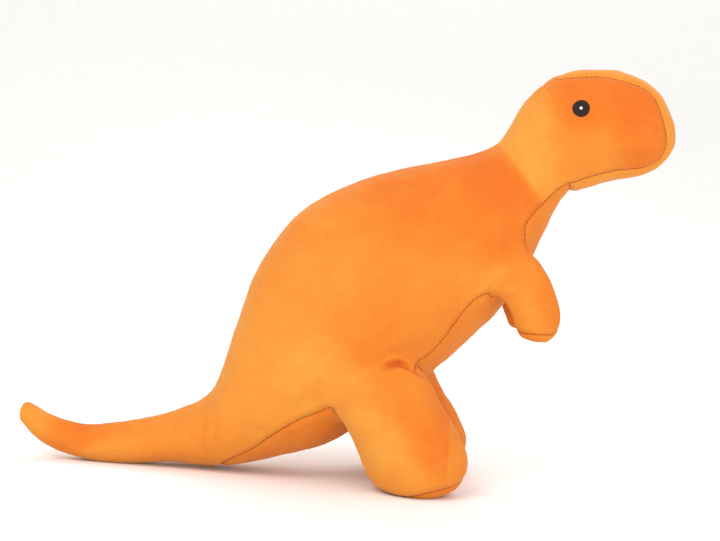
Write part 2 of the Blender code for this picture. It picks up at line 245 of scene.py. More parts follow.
def fuse(parts):
    points, faces = [], []
    for partPoints, partFaces in parts:
        start = sum(len(p) for p in points)
        points.append(partPoints)
        faces += [tuple(start + i for i in face) for face in partFaces]
    obj = showMesh("unfused", meshFrom("unfused", np.concatenate(points), faces))
    grow = obj.modifiers.new("grow", "REMESH")
    grow.mode = "VOXEL"
    grow.voxel_size = skin["voxel"] * mm
    grow.adaptivity = 0
    mesh = bpy.data.meshes.new_from_object(obj.evaluated_get(bpy.context.evaluated_depsgraph_get()))
    bpy.data.objects.remove(obj)
    return mesh


def readMesh(mesh):
    points = np.empty(len(mesh.vertices) * 3)
    mesh.vertices.foreach_get("co", points)
    edges = np.empty(len(mesh.edges) * 2, int)
    mesh.edges.foreach_get("vertices", edges)
    loops = np.empty(len(mesh.loops), int)
    mesh.loops.foreach_get("vertex_index", loops)
    return points.reshape(-1, 3), edges.reshape(-1, 2), loops.reshape(-1, 4)


def normalsOf(points, quads):
    first, second, third, fourth = (points[quads[:, k]] for k in range(4))
    across = np.cross(third - first, fourth - second)
    total = np.zeros_like(points)
    for corner in range(4):
        for axis in range(3):
            total[:, axis] += np.bincount(quads[:, corner], across[:, axis], len(points))
    return total / np.maximum(np.linalg.norm(total, axis=1), 1e-12)[:, None]


def neighbourMean(values, edges, count):
    total = np.stack(
        [
            np.bincount(edges[:, 0], values[edges[:, 1], k], count)
            + np.bincount(edges[:, 1], values[edges[:, 0], k], count)
            for k in range(values.shape[1])
        ],
        -1,
    )
    shared = np.bincount(edges.ravel(), minlength=count)
    return total / np.maximum(shared, 1)[:, None]


def easeStep(low, high, value):
    t = np.clip((value - low) / (high - low), 0, 1)
    return t * t * (3 - 2 * t)


def relax(points, edges, weight, steps):
    # each pair of steps shrinks and then swells back, so the form keeps its volume
    for step in range(steps):
        pull = 0.5 if step % 2 == 0 else -0.52
        mean = neighbourMean(points, edges, len(points))
        points = points + (mean - points) * (weight * pull)[:, None]
    return points


def distanceTo(tree, points):
    return np.array([tree.find_nearest(Vector(p))[3] for p in points])


def growSkin():
    bodyPart = bodyLoft()
    limbParts = {(kind, side): limbLoft(kind, side) for kind in limbs for side in (-1, 1)}
    mesh = fuse([bodyPart] + list(limbParts.values()))
    points, edges, quads = readMesh(mesh)
    points = relax(points, edges, np.ones(len(points)), skin["relax"])
    bodyTree = surfaceTree(*bodyPart)
    for (kind, side), part in limbParts.items():
        radius = limbs[kind]["filletRadius"] * mm
        low, high = part[0].min(0) - radius, part[0].max(0) + radius
        near = np.flatnonzero(((points > low) & (points < high)).all(1))
        limbTree = surfaceTree(*part)
        other = np.maximum(distanceTo(bodyTree, points[near]), distanceTo(limbTree, points[near]))
        weight = np.zeros(len(points))
        weight[near] = 1 - easeStep(skin["easeStart"] * radius, radius, other)
        # the outer side runs on in one cloth and eases widely, the inner side is sewn into a crease
        outward = side * points[:, 1] / mm
        stance = limbs[kind]["stance"]
        start, end = (stance + step for step in skin["outerFrom"])
        weight *= skin["innerEase"] + (1 - skin["innerEase"]) * easeStep(start, end, outward)
        active = np.flatnonzero(weight > 0)
        for _ in range(skin["easeSteps"]):
            mean = neighbourMean(points, edges, len(points))
            points[active] += (mean[active] - points[active]) * (weight[active] * 0.5)[:, None]
    return mesh, points, edges, quads


print("growing the skin")
mesh, points, edges, quads = growSkin()
print(f"skin of {len(quads)} faces")

# Seams, as (part, place, angle in degrees) on the right side of the toy, mirrored to the left. One
# line closes each side panel: round the head strip, down the chest, round the arm and the leg.
seams = {
    "depth": 0.85,
    "width": 1.05,
    "stitch": 2.6,  # stitch spacing; the valley is deeper at each one
    "stitchPull": 0.18,
    "shoulder": 0.45,  # the cloth stands up beside a seam
    "shoulderAt": 4.2,
    "shoulderWidth": 2.2,
    "puckerSize": 6.0,
    "puckerDepth": 0.45,
    "puckerReach": 4.5,
    "puckerStart": (0.4, 1.6),
    "flatReach": 9.0,  # lumps fade towards a seam from here
    "flatDimples": 0.4,
    "clear": 0.9,  # cloth further than this from a seam belongs to one panel
    "panelLoop": [
        ("body", 17.5, 0), ("body", 17.9, 13), ("body", 18.1, 22), ("body", 18.6, 31), ("body", 19.1, 34),
        ("body", 19.5, 37), ("body", 19.9, 39), ("body", 20.3, 41), ("body", 20.6, 47), ("body", 20.8, 62),
        ("body", 20.95, 80), ("body", 21.1, 98), ("body", 21.15, 117), ("body", 21.0, 135),
        ("body", 20.65, 146), ("body", 20.2, 148), ("body", 19.6, 147), ("body", 19, 146),
        ("body", 18.3, 145), ("body", 17.6, 145), ("body", 16.9, 146), ("body", 16.2, 143),
        ("body", 15.6, 133), ("body", 15.2, 125), ("body", 14.8, 118), ("body", 14.45, 115),
        ("arm", 1.25, 6), ("arm", 2, 0), ("arm", 3, 0), ("arm", 4, 0), ("arm", 4.8, 5),
        ("arm", 5.2, 32), ("arm", 5.2, 65), ("arm", 5.1, 95), ("arm", 4.95, 125), ("arm", 4.75, 158),
        ("arm", 4.2, 177), ("arm", 3, 180), ("arm", 2.1, 180), ("arm", 1.3, 180),
        ("body", 13.2, 130), ("body", 12.9, 126), ("body", 12.65, 127), ("body", 12.35, 132),
        ("body", 12, 138), ("body", 11.6, 140), ("leg", 0.75, 22), ("leg", 1.3, 6),
        ("leg", 2, 0), ("leg", 3, 0), ("leg", 4, 0), ("leg", 4.6, 3), ("leg", 4.85, 22),
        ("leg", 5.05, 50), ("leg", 5.25, 75), ("leg", 5.75, 106), ("leg", 5.9, 140), ("leg", 5.5, 172),
        ("leg", 5, 180), ("leg", 4, 180), ("leg", 3, 180), ("leg", 2, 180), ("leg", 1.3, 180),
        ("body", 9.5, 130), ("body", 9.2, 128), ("body", 8.8, 125), ("body", 8.35, 125),
        ("body", 7.9, 127), ("body", 7.35, 132), ("body", 6.85, 137), ("body", 6.45, 146),
        ("body", 6.3, 162), ("body", 6.28, 180),
    ],
    "spine": [("body", 0.3 + 0.43 * k, 0) for k in range(41)],
    "tailUnder": [("body", 0.3 + 0.5 * k, 180) for k in range(13)],
    "tailTip": [("body", 0.3, 0), ("body", 0.0, 45), ("body", 0.0, 135), ("body", 0.3, 180)],
    "throat": [("body", 16.5, 180), ("body", 16.5, 162), ("body", 16.55, 145)],
    "crotch": [("body", 11.3, 180), ("body", 11.3, 165), ("body", 11.3, 150), ("body", 11.35, 140)],
}


def placesToPoints(stops, side):
    found = []
    for part, place, degrees in stops:
        turn = math.radians(degrees)
        if part == "body":
            found.append(bodyPoint(place, turn, side))
        else:
            found.append(limbPoint(part, place, turn, side))
    return np.array(found)


def denseLine(stops, spacing):
    # a smooth line through the stops, walked at even steps
    fine = rowAt(stops, np.linspace(0, len(stops) - 1, (len(stops) - 1) * 40 + 1))
    run = runAlong(fine)
    even = np.linspace(0, run[-1], max(2, int(run[-1] / spacing) + 1))
    return np.stack([np.interp(even, run, fine[:, k]) for k in range(3)], -1)


def onSkin(line, tree, passes=3):
    for _ in range(passes):
        line = np.array([tree.find_nearest(Vector(p))[0] for p in line])
        line[1:-1] = (line[:-2] + 2 * line[1:-1] + line[2:]) / 4
    return line


skinTree = surfaceTree(points, quads)
seamLines = []
for seamName in ("panelLoop", "spine", "tailUnder", "tailTip", "throat", "crotch"):
    for side in (-1, 1):
        if side == 1 and seamName in ("spine", "tailUnder"):
            continue
        line = denseLine(placesToPoints(seams[seamName], side), 0.5 * mm)
        seamLines.append(onSkin(line, skinTree))
print(f"{len(seamLines)} seam lines")


def distanceAlong(lines, reach):
    # for every point of the skin: how far the nearest line is, and how far along its run
    tree = pointTree(np.concatenate(lines))
    run = np.concatenate([runAlong(line) for line in lines])
    gap = np.full(len(points), reach)
    along = np.zeros(len(points))
    for i, p in enumerate(points):
        _, hit, far = tree.find(Vector(p))
        if far < reach:
            gap[i], along[i] = far, run[hit]
    return gap, along


# Soft folds: where the neck bends, at the hip, at the shoulder and round the tail root. Depth and
# width are in millimetres; a painted shade darkens the pile in the fold, and below zero it paints the pile
# lighter as a painted highlight.
foldShape = {"reach": 14.0, "ridge": 0.45, "fade": 0.6}
folds = [
    {"stops": [("body", 14.85, 12), ("body", 15.05, 52), ("body", 15.12, 80), ("body", 15.15, 104)],
     "depth": 1.0, "width": 3.4},
    {"stops": [("body", 14.2, 34), ("body", 14.45, 60), ("body", 14.55, 82), ("body", 14.6, 100)],
     "depth": 0.45, "width": 2.8},
    {"stops": [("body", 13.7, 48), ("body", 13.95, 72), ("body", 14.1, 92)], "depth": 0.25, "width": 3.0},
    # the hip crease is darkened with painted shade
    {"stops": [("leg", 0.75, 26), ("leg", 0.42, 36), ("leg", 0.3, 48), ("leg", 0.3, 66)],
     "depth": 2.6, "width": 1.7, "paintedShade": 0.55},
    # this small fold behind the head is painted lighter, a painted highlight
    {"stops": [("body", 17.57, 8), ("body", 17.55, 26), ("body", 17.53, 42)],
     "depth": 0.35, "width": 0.9, "paintedShade": -0.3},
    {"stops": [("leg", 0.1, 25), ("leg", -0.1, 40), ("leg", 0.0, 70)], "depth": 0.5, "width": 4.0},
    {"stops": [("leg", 1.2, 165), ("leg", 1.1, 140), ("leg", 1.0, 118)], "depth": 0.8, "width": 3.0},
    {"stops": [("arm", 1.25, 165), ("arm", 1.15, 135), ("arm", 1.1, 110)], "depth": 0.9, "width": 2.2},
    {"stops": [("body", 6.6, 50), ("body", 6.35, 85), ("body", 6.25, 125)], "depth": 0.5, "width": 2.6},
    {"stops": [("body", 6.1, 50), ("body", 5.85, 90), ("body", 5.75, 130)], "depth": 0.55, "width": 2.2},
    {"stops": [("body", 5.65, 60), ("body", 5.45, 95), ("body", 5.35, 130)], "depth": 0.5, "width": 2.2},
    {"stops": [("body", 5.2, 55), ("body", 5.05, 90), ("body", 5.0, 120)], "depth": 0.35, "width": 2.2},
]

eye = {
    "place": 18.27,
    "angle": 70.0,
    "radius": 5.15,
    "height": 0.9,
    "threads": 46,
    "threadHeight": 0.13,
    "twist": 5.0,  # how far the threads lean as they run outward
    "rimHeight": 0.16,
    "rimAt": 0.86,
    "rimWidth": 0.07,
    "tuck": 0.35,  # the edge goes this deep into the pile
    "glintRadius": 0.95,
    "glintHeight": 0.45,
    "glintThreads": 9,
    "pinch": 0.9,  # how far the sewing pulls the cloth in
}


def fractal(point, size, seed):
    shifted = Vector(point) / (size * mm) + Vector((seed, seed * 1.7, -seed))
    return noise.fractal(shifted, 0.8, 2.0, 3)


# The stuffing presses the cloth out between the seams. A coarse copy of the skin is held along its
# seams, blown up for a moment as cloth, and its swell is carried over to the fine skin.
filling = {
    "voxel": 5.0,
    "held": 4.5,  # points this near to a seam don't move
    "pressure": 45.0,
    "frames": 20,
    "cap": 3.5,  # no point moves further than this
    "carriers": 5,  # coarse points that each fine point follows
    "blur": 0.5,
}


def swellByCloth():
    obj = showMesh("pressed", meshFrom("pressed", points, quads))
    coarsen = obj.modifiers.new("coarsen", "REMESH")
    coarsen.mode = "VOXEL"
    coarsen.voxel_size = filling["voxel"] * mm
    depsgraph = bpy.context.evaluated_depsgraph_get()
    coarse = bpy.data.meshes.new_from_object(obj.evaluated_get(depsgraph))
    obj.modifiers.clear()
    obj.data = coarse
    before = np.array([v.co for v in coarse.vertices])
    tree = pointTree(np.concatenate(seamLines))
    held = obj.vertex_groups.new(name="held")
    for index, p in enumerate(before):
        if tree.find(Vector(p))[2] < filling["held"] * mm:
            held.add([index], 1.0, "REPLACE")
    cloth = obj.modifiers.new("cloth", "CLOTH")
    cloth.settings.use_pressure = True
    cloth.settings.uniform_pressure_force = filling["pressure"]
    cloth.settings.vertex_group_mass = "held"
    cloth.settings.effector_weights.gravity = 0
    cloth.collision_settings.use_collision = False
    cloth.point_cache.frame_end = filling["frames"]
    for frameNumber in range(1, filling["frames"] + 1):
        bpy.context.scene.frame_set(frameNumber)
    swollen = obj.evaluated_get(bpy.context.evaluated_depsgraph_get())
    swell = np.array([v.co for v in swollen.data.vertices]) - before
    bpy.context.scene.frame_set(1)
    bpy.data.objects.remove(obj)
    bpy.data.meshes.remove(coarse)
    length = np.linalg.norm(swell, axis=1)
    swell *= np.minimum(1, filling["cap"] * mm / np.maximum(length, 1e-9))[:, None]
    tree = pointTree(before)
    carried = np.zeros_like(points)
    for i, p in enumerate(points):
        near = tree.find_n(Vector(p), filling["carriers"])
        weight = np.array([1 / (far + filling["blur"] * mm) ** 2 for _, _, far in near])
        carried[i] = weight @ swell[[k for _, k, _ in near]] / weight.sum()
    print(f"cloth of {len(before)} points swelled by up to {length.max() / mm:.1f} mm")
    return carried


outward = normalsOf(points, quads)
swell = swellByCloth()
across = (swell * outward).sum(1)
# the sewn pattern allows for the swell, so only its unevenness shows
points = points + (swell - outward * across.mean())
skinTree = surfaceTree(points, quads)
seamLines = [onSkin(line, skinTree, 1) for line in seamLines]

print("sewing the seams")
seamGap, seamRun = distanceAlong(seamLines, 12 * mm)
gap = seamGap / mm
run = seamRun / mm
lump = np.array([fractal(p, skin["lumpSize"], 3.1) for p in points])
dimple = np.array([fractal(p, skin["dimpleSize"], 7.7) for p in points])
waves = [Vector((s / seams["puckerSize"], g * 0.02, 0.5)) for s, g in zip(run, gap)]
pucker = np.array([noise.noise(wave) for wave in waves])
away = easeStep(0, seams["flatReach"], gap)
move = skin["lumpDepth"] * lump * away
move += skin["dimpleDepth"] * dimple * (seams["flatDimples"] + (1 - seams["flatDimples"]) * away)
pull = 1 + seams["stitchPull"] * np.cos(run * 2 * np.pi / seams["stitch"])
move -= seams["depth"] * np.exp(-((gap / seams["width"]) ** 2)) * pull
move += seams["shoulder"] * np.exp(-(((gap - seams["shoulderAt"]) / seams["shoulderWidth"]) ** 2))
nearSeam = np.exp(-gap / seams["puckerReach"]) * easeStep(*seams["puckerStart"], gap)
move += seams["puckerDepth"] * pucker * nearSeam

foldPaintedShade = np.zeros(len(points))
for fold in folds:
    lines = []
    for side in (-1, 1):
        line = denseLine(placesToPoints(fold["stops"], side), 0.8 * mm)
        lines.append(onSkin(line, skinTree, 2))
    foldGap, foldRun = distanceAlong(lines, foldShape["reach"] * mm)
    length = max(np.linalg.norm(np.diff(line, axis=0), axis=1).sum() for line in lines)
    ends = np.sin(np.pi * np.clip(foldRun / length, 0, 1)) ** foldShape["fade"]
    profile = np.exp(-((foldGap / mm / fold["width"]) ** 2))
    beside = (foldGap / mm - 2 * fold["width"]) / fold["width"]
    ridge = foldShape["ridge"] * np.exp(-(beside**2))
    inReach = foldGap < (foldShape["reach"] - 0.1) * mm
    move += np.where(inReach, fold["depth"] * ends * (ridge - profile), 0)
    # painted shade in each fold, and painted highlight where the value is below zero
    foldPaintedShade += np.where(inReach, fold.get("paintedShade", 0) * ends * profile, 0)

eyeCentres = {}
for side in (-1, 1):
    flat = bodyPoint(eye["place"], math.radians(eye["angle"]), side)
    centre, normal, _, _ = skinTree.find_nearest(Vector(flat))
    eyeCentres[side] = (np.array(centre), np.array(normal))
    toEye = np.linalg.norm(points - np.array(centre), axis=1) / mm
    move -= eye["pinch"] * np.exp(-((toEye / (eye["radius"] * 1.25)) ** 2))

points = points + outward * (move * mm)[:, None]
points[:, 2] = np.maximum(points[:, 2], 0.0002)
points = relax(points, edges, np.full(len(points), 0.6), 2)
outward = normalsOf(points, quads)

# Where each piece of the skin starts to follow its moving body: a direction across the joint, how
# far along it the bend starts and ends (millimetres), and a box that holds the piece.
bends = {
    "head": {"toward": (0.78, 0, 0.63), "start": 191.0, "end": 217.0,
             "low": (60, -80, 150), "high": (230, 80, 300)},
    "tail": {"toward": (-1, 0, 0), "start": 70.0, "end": 106.0,
             "low": (-230, -60, -20), "high": (-69, 60, 60)},
    "leg_right": {"toward": (0.4, -0.5, -0.77), "start": -19.0, "end": 8.0,
                  "low": (-70, -90, -20), "high": (100, 0, 95)},
    "arm_right": {"toward": (0.62, -0.62, -0.48), "start": 18.0, "end": 34.0,
                  "low": (68, -70, 84), "high": (150, 0, 165)},
}

# Painted light and shade on the pile, set out as how the pile lies: marks on the cloth (x and z in
# millimetres) with a tone between 0, laid away and redder, painted as shade, and 1, brushed up and lighter,
# painted as light falling on it. Between the marks the tone runs over softly.
paintedNapLight = {
    "reach": 24.0,
    "side": [
        (-190, 30, 0.8), (-150, 20, 0.2), (-140, 0, 0.8), (-90, 10, 0.6),  # tail: dark along its top
        (-60, 70, 0.8), (-10, 60, 0.9), (-20, 120, 0.6), (20, 90, 0.4),  # haunch light, flank even
        # the shoulder and nape are painted darker, as painted shade
        (50, 170, 0.2), (80, 180, 0.0), (90, 150, 0.2),  # shoulder and nape laid away
        (50, 110, 0.5), (90, 120, 0.8),  # chest
        (100, 220, 0.9), (110, 200, 0.6), (140, 200, 0.6),  # back of the head and the jaw
        (130, 230, 0.1), (160, 230, 0.0), (170, 210, 0.2),  # face
    ],
    "leg": [(20, 30, 1.0), (60, 30, 0.2), (40, 10, 0.8), (40, 60, 0.3)],
    "arm": [(100, 110, 0.7), (120, 120, 0.3), (110, 140, 0.3)],
    "limbFade": (-12, 14),  # a limb's own marks take over between these heights at its root
    "limbAround": (6, 20),  # and reach this far behind and ahead of it
    "limbFromMiddle": 8,
    "armFrom": (14, 24),  # along the arm's bend direction
    # where the neck folds, the tone steps up ahead of this line as painted light, and dips behind it as
    # painted shade
    "neckCrease": 195.5,  # ahead of this line, across the neck, the pile turns over at once
    "neckStep": 0.3,
    "neckRise": (-2.0, 2.5),
    "neckFade": (6, 34),
    "neckBehind": (-14, -2),
    "behindShare": 0.35,
    # the head strip is painted lighter, as a painted sheen; the chest and rump strips are painted darker,
    # as painted shade
    "headStrip": 0.85,
    "chest": 0.5,
    "rump": 0.4,
    "stripShare": 0.25,  # how much of the marks shows in the three strips
    "lumpShare": 0.06,
    "dimpleShare": 0.04,
}


def toneFrom(marks, places, reach):
    total = np.full(len(places), 1e-9)
    mixed = total * 0.5
    for x, z, value in marks:
        far = ((places[:, 0] / mm - x) ** 2 + (places[:, 2] / mm - z) ** 2) / reach**2
        weight = 1 / (0.05 + far) ** 2
        total += weight
        mixed += weight * value
    return mixed / total


# The panel that each point is cut from: whatever a closed run of seams fences in.
def fencedIn(seeds):
    clear = seamGap > seams["clear"] * mm
    links = edges[clear[edges].all(1)]
    label = np.arange(len(points))
    while True:
        lower = label.copy()
        np.minimum.at(lower, links[:, 0], label[links[:, 1]])
        np.minimum.at(lower, links[:, 1], label[links[:, 0]])
        lower = lower[lower]
        if (lower == label).all():
            break
        label = lower
    free = np.flatnonzero(clear)
    tree = pointTree(points[free])
    panel = np.zeros(len(points), int)
    for number, stop in enumerate(seeds, 1):
        seed = free[tree.find(Vector(placesToPoints([stop], -1)[0]))[1]]
        panel[clear & (label == label[seed])] = number
    for i in np.flatnonzero(~clear):
        panel[i] = panel[free[tree.find(Vector(points[i]))[1]]]
    return panel


panel = fencedIn([("body", 19.5, 0), ("body", 13.5, 180), ("body", 9, 180)])
print("panels: " + ", ".join(str(int((panel == k).sum())) for k in range(4)))
# painted light and shade: the tone lightens or darkens the pile where light falls on it
paintedLightTone = toneFrom(paintedNapLight["side"], points, paintedNapLight["reach"])
for kind in ("leg", "arm"):
    rows = np.array(limbs[kind]["rows"])
    top = rows[1, [1, 3]].mean()
    behind, before = paintedNapLight["limbAround"]
    for side in (-1, 1):
        lead = limbs[kind]["leftLead"] if side > 0 else 0.0
        shifted = points - np.array([lead * mm, 0, 0])
        x, y, z = (shifted / mm).T
        within = (x > rows[:, 2].min() - behind) & (x < rows[:, 0].max() + before)
        within &= side * y > paintedNapLight["limbFromMiddle"]
        share = (1 - easeStep(top + paintedNapLight["limbFade"][0], top + paintedNapLight["limbFade"][1], z)) * within
        if kind == "arm":
            towardX, towardY, towardZ = bends["arm_right"]["toward"]
            share *= easeStep(*paintedNapLight["armFrom"], towardX * x - towardY * side * y + towardZ * z)
        paintedLightTone += share * (toneFrom(paintedNapLight[kind], shifted, paintedNapLight["reach"]) - paintedLightTone)
# painted light ahead of the neck fold and painted shade behind it
towardX, _, towardZ = bends["head"]["toward"]
ahead = (towardX * points[:, 0] + towardZ * points[:, 2]) / mm - paintedNapLight["neckCrease"]
step = easeStep(*paintedNapLight["neckRise"], ahead) * (1 - easeStep(*paintedNapLight["neckFade"], ahead))
step -= paintedNapLight["behindShare"] * easeStep(*paintedNapLight["neckBehind"], ahead) * (ahead < 0)
paintedLightTone += paintedNapLight["neckStep"] * step * (panel == 0)
for number, name in ((1, "headStrip"), (2, "chest"), (3, "rump")):
    inStrip = paintedNapLight[name] + paintedNapLight["stripShare"] * (paintedLightTone - 0.5)
    paintedLightTone = np.where(panel == number, inStrip, paintedLightTone)
paintedLightTone += paintedNapLight["lumpShare"] * lump + paintedNapLight["dimpleShare"] * dimple - foldPaintedShade

# The left limbs bend as the right ones do, mirrored.
for name in ("leg", "arm"):
    right = bends[f"{name}_right"]
    left = dict(right)
    left["toward"] = (right["toward"][0], -right["toward"][1], right["toward"][2])
    left["low"] = (right["low"][0], 0, right["low"][2])
    left["high"] = (right["high"][0], -right["low"][1], right["high"][2])
    lead = limbs[name]["leftLead"] * right["toward"][0]
    left["start"], left["end"] = right["start"] + lead, right["end"] + lead
    bends[f"{name}_left"] = left


def pieceOf(places):
    owner = np.zeros(len(places), int)
    for number, bend in enumerate(bends.values(), 1):
        along = places @ np.array(bend["toward"]) / mm
        inside = ((places / mm > bend["low"]) & (places / mm < bend["high"])).all(1)
        owner[inside & (along > bend["start"]) & (owner == 0)] = number
    return owner


def linear(hexColour):
    value = int(hexColour.lstrip("#"), 16)
    channels = [(value >> shift & 255) / 255 for shift in (16, 8, 0)]
    return tuple(c / 12.92 if c <= 0.04045 else ((c + 0.055) / 1.055) ** 2.4 for c in channels) + (1.0,)


def addNode(tree, kind, settings=None, links=None):
    node = tree.nodes.new(kind)
    for key, value in (settings or {}).items():
        if isinstance(key, int) or key in node.inputs:
            node.inputs[key].default_value = value
        else:
            setattr(node, key, value)
    for key, (source, output) in (links or {}).items():
        tree.links.new(source.outputs[output], node.inputs[key])
    return node


def newMaterial(name):
    material = bpy.data.materials.new(name)
    material.use_nodes = True
    material.node_tree.nodes.clear()
    return material, material.node_tree


def finishMaterial(tree, shader):
    addNode(tree, "ShaderNodeOutputMaterial", {}, {"Surface": (shader, "BSDF")})


# Polyester velboa: a knitted ground with a dense 1.5 mm cut pile. The pile takes the light in
# soft patches where it is brushed, shows a pale rim at glancing angles and a fine grain up close.
# Sizes are in millimetres: the pile's own fibres, 0.02 mm, are too fine to show and are drawn as
# tufts and grain.
velboa = {
    # red, middle and light: the pile's orange, darkened as painted shade and lightened as painted light
    # along the tone
    "red": "#CC6420",
    "middle": "#D27A2B",
    "light": "#D68F3A",
    # painted shade: the pile is painted darker in the seam valley, from 0.2 to 1.0 mm off the seam line
    "seamPaintedShade": "#A4501A",
    "seamPaintedShadeShare": 0.5,
    "seamPaintedShadeFrom": 0.2,
    "seamPaintedShadeTo": 1.0,
    "brush": 14.0,
    "brushShare": 0.34,
    "tuft": 2.2,
    "tuftShare": 0.22,
    "grain": 0.9,
    "grainShare": 0.5,
    "level": 0.36,  # takes the patterns' own mean off the tone
    "pileHeight": 0.35,
    "pileBump": 0.55,
    "roughness": 0.92,
    "specular": 0.12,
    "sheen": 0.3,
    "sheenRoughness": 0.38,
    "sheenTint": "#FFD2A0",
}


def noiseOf(tree, size, detail, roughness=0.5):
    # a pattern that stays with the cloth when it moves; size in millimetres
    rest = addNode(tree, "ShaderNodeAttribute", {"attribute_name": "rest"})
    settings = {"Scale": 1000 / size, "Detail": detail, "Roughness": roughness}
    return addNode(tree, "ShaderNodeTexNoise", settings, {"Vector": (rest, "Vector")})


def makeVelboa(name, shift):
    material, tree = newMaterial(name)
    # the tone paints light and shade into the pile's colour
    paintedLightNode = addNode(tree, "ShaderNodeAttribute", {"attribute_name": "paintedLightTone"})
    seamNode = addNode(tree, "ShaderNodeAttribute", {"attribute_name": "seamGap"})
    brush = noiseOf(tree, velboa["brush"], 3.0, 0.55)
    tuft = noiseOf(tree, velboa["tuft"], 2.0, 0.6)
    grain = noiseOf(tree, velboa["grain"], 2.0, 0.7)
    soft = addNode(
        tree,
        "ShaderNodeMath",
        {"operation": "MULTIPLY_ADD", 1: velboa["brushShare"], 2: shift - velboa["brushShare"] / 2},
        {0: (brush, "Fac")},
    )
    fine = addNode(tree, "ShaderNodeMath", {"operation": "MULTIPLY_ADD", 1: velboa["tuftShare"]},
                   {0: (tuft, "Fac"), 2: (soft, "Value")})
    speck = addNode(tree, "ShaderNodeMath", {"operation": "MULTIPLY_ADD", 1: velboa["grainShare"]},
                    {0: (grain, "Fac"), 2: (fine, "Value")})
    patch = addNode(tree, "ShaderNodeMath", {"operation": "ADD"},
                    {0: (paintedLightNode, "Fac"), 1: (speck, "Value")})
    level = addNode(
        tree,
        "ShaderNodeMath",
        {"operation": "SUBTRACT", 1: velboa["level"], "use_clamp": True},
        {0: (patch, "Value")},
    )
    ramp = addNode(tree, "ShaderNodeValToRGB", {}, {"Fac": (level, "Value")})
    stops = ramp.color_ramp.elements
    stops[0].color = linear(velboa["red"])
    stops[1].color = linear(velboa["light"])
    stops.new(0.5).color = linear(velboa["middle"])
    # painted shade in the seam valley
    paintedShade = addNode(
        tree,
        "ShaderNodeMapRange",
        {
            "From Min": velboa["seamPaintedShadeFrom"] * mm,
            "From Max": velboa["seamPaintedShadeTo"] * mm,
            "To Min": velboa["seamPaintedShadeShare"],
            "To Max": 0.0,
        },
        {"Value": (seamNode, "Fac")},
    )
    colour = addNode(tree, "ShaderNodeMix", {"data_type": "RGBA"}, {0: (paintedShade, "Result")})
    tree.links.new(ramp.outputs["Color"], colour.inputs[6])
    colour.inputs[7].default_value = linear(velboa["seamPaintedShade"])
    pile = addNode(tree, "ShaderNodeMath", {"operation": "MULTIPLY_ADD", 1: 0.5},
                   {0: (tuft, "Fac"), 2: (grain, "Fac")})
    bump = addNode(
        tree,
        "ShaderNodeBump",
        {"Strength": velboa["pileBump"], "Distance": velboa["pileHeight"] * mm},
        {"Height": (pile, "Value")},
    )
    shader = addNode(
        tree,
        "ShaderNodeBsdfPrincipled",
        {
            "Roughness": velboa["roughness"],
            "Specular IOR Level": velboa["specular"],
            "Sheen Weight": velboa["sheen"],
            "Sheen Roughness": velboa["sheenRoughness"],
            "Sheen Tint": linear(velboa["sheenTint"]),
        },
        {"Normal": (bump, "Normal")},
    )
    tree.links.new(colour.outputs[2], shader.inputs["Base Color"])
    finishMaterial(tree, shader)
    return material


# Spun polyester sewing thread, dyed to the cloth; a little glossier than the pile. The twist of the
# yarn is 0.4 mm long.
thread = {"dark": "#8A3A0C", "light": "#B5591A", "twist": 0.4, "roughness": 0.75, "specular": 0.2}


def makeSewingThread():
    material, tree = newMaterial("sewingThread")
    twist = noiseOf(tree, thread["twist"], 1.0)
    ramp = addNode(tree, "ShaderNodeValToRGB", {}, {"Fac": (twist, "Fac")})
    ramp.color_ramp.elements[0].color = linear(thread["dark"])
    ramp.color_ramp.elements[1].color = linear(thread["light"])
    shader = addNode(
        tree,
        "ShaderNodeBsdfPrincipled",
        {"Roughness": thread["roughness"], "Specular IOR Level": thread["specular"]},
        {"Base Color": (ramp, "Color")},
    )
    finishMaterial(tree, shader)
    return material


# Rayon embroidery thread in satin stitch: close-laid threads, each painted lighter along its ridge as a
# painted gloss.
embroidery = {
    "eyeDark": "#0D0807",
    "eyePaintedGloss": "#41322B",
    "glintDark": "#D9D5CE",
    "glintPaintedGloss": "#FFFFFF",
    "fibre": 1 / 3,
    "lightAt": 0.75,
    "bump": 0.4,
    "fibreHeight": 0.1,
    "roughness": 0.6,
    "specular": 0.18,
}


def makeEmbroidery(name, dark, light):
    material, tree = newMaterial(name)
    lay = addNode(tree, "ShaderNodeAttribute", {"attribute_name": "lay"})
    fibre = noiseOf(tree, embroidery["fibre"], 2.0)
    # painted gloss: the lighter colour follows the raised ridge of each thread
    mixed = addNode(tree, "ShaderNodeMath", {"operation": "MULTIPLY", "use_clamp": True},
                    {0: (fibre, "Fac"), 1: (lay, "Fac")})
    ramp = addNode(tree, "ShaderNodeValToRGB", {}, {"Fac": (mixed, "Value")})
    ramp.color_ramp.elements[0].color = linear(dark)
    ramp.color_ramp.elements[1].color = linear(light)
    ramp.color_ramp.elements[1].position = embroidery["lightAt"]
    bump = addNode(
        tree,
        "ShaderNodeBump",
        {"Strength": embroidery["bump"], "Distance": embroidery["fibreHeight"] * mm},
        {"Height": (fibre, "Fac")},
    )
    shader = addNode(
        tree,
        "ShaderNodeBsdfPrincipled",
        {"Roughness": embroidery["roughness"], "Specular IOR Level": embroidery["specular"]},
        {"Base Color": (ramp, "Color"), "Normal": (bump, "Normal")},
    )
    finishMaterial(tree, shader)
    return material


sideCloth = makeVelboa("velboaSide", 0.0)
gussetCloth = makeVelboa("velboaGusset", -0.03)
sewingThread = makeSewingThread()
eyeThread = makeEmbroidery("eyeThread", embroidery["eyeDark"], embroidery["eyePaintedGloss"])
glintThread = makeEmbroidery("glintThread", embroidery["glintDark"], embroidery["glintPaintedGloss"])


def giveAttribute(mesh, name, values, kind="FLOAT"):
    attribute = mesh.attributes.new(name, kind, "POINT")
    field = "vector" if kind == "FLOAT_VECTOR" else "value"
    attribute.data.foreach_set(field, np.ravel(values).astype(np.float32))


# Stitches: a short lens of thread in the valley of the seam at every stitch.
stitch = {"length": 1.5, "radius": 0.19, "sides": 6, "lift": 0.05}


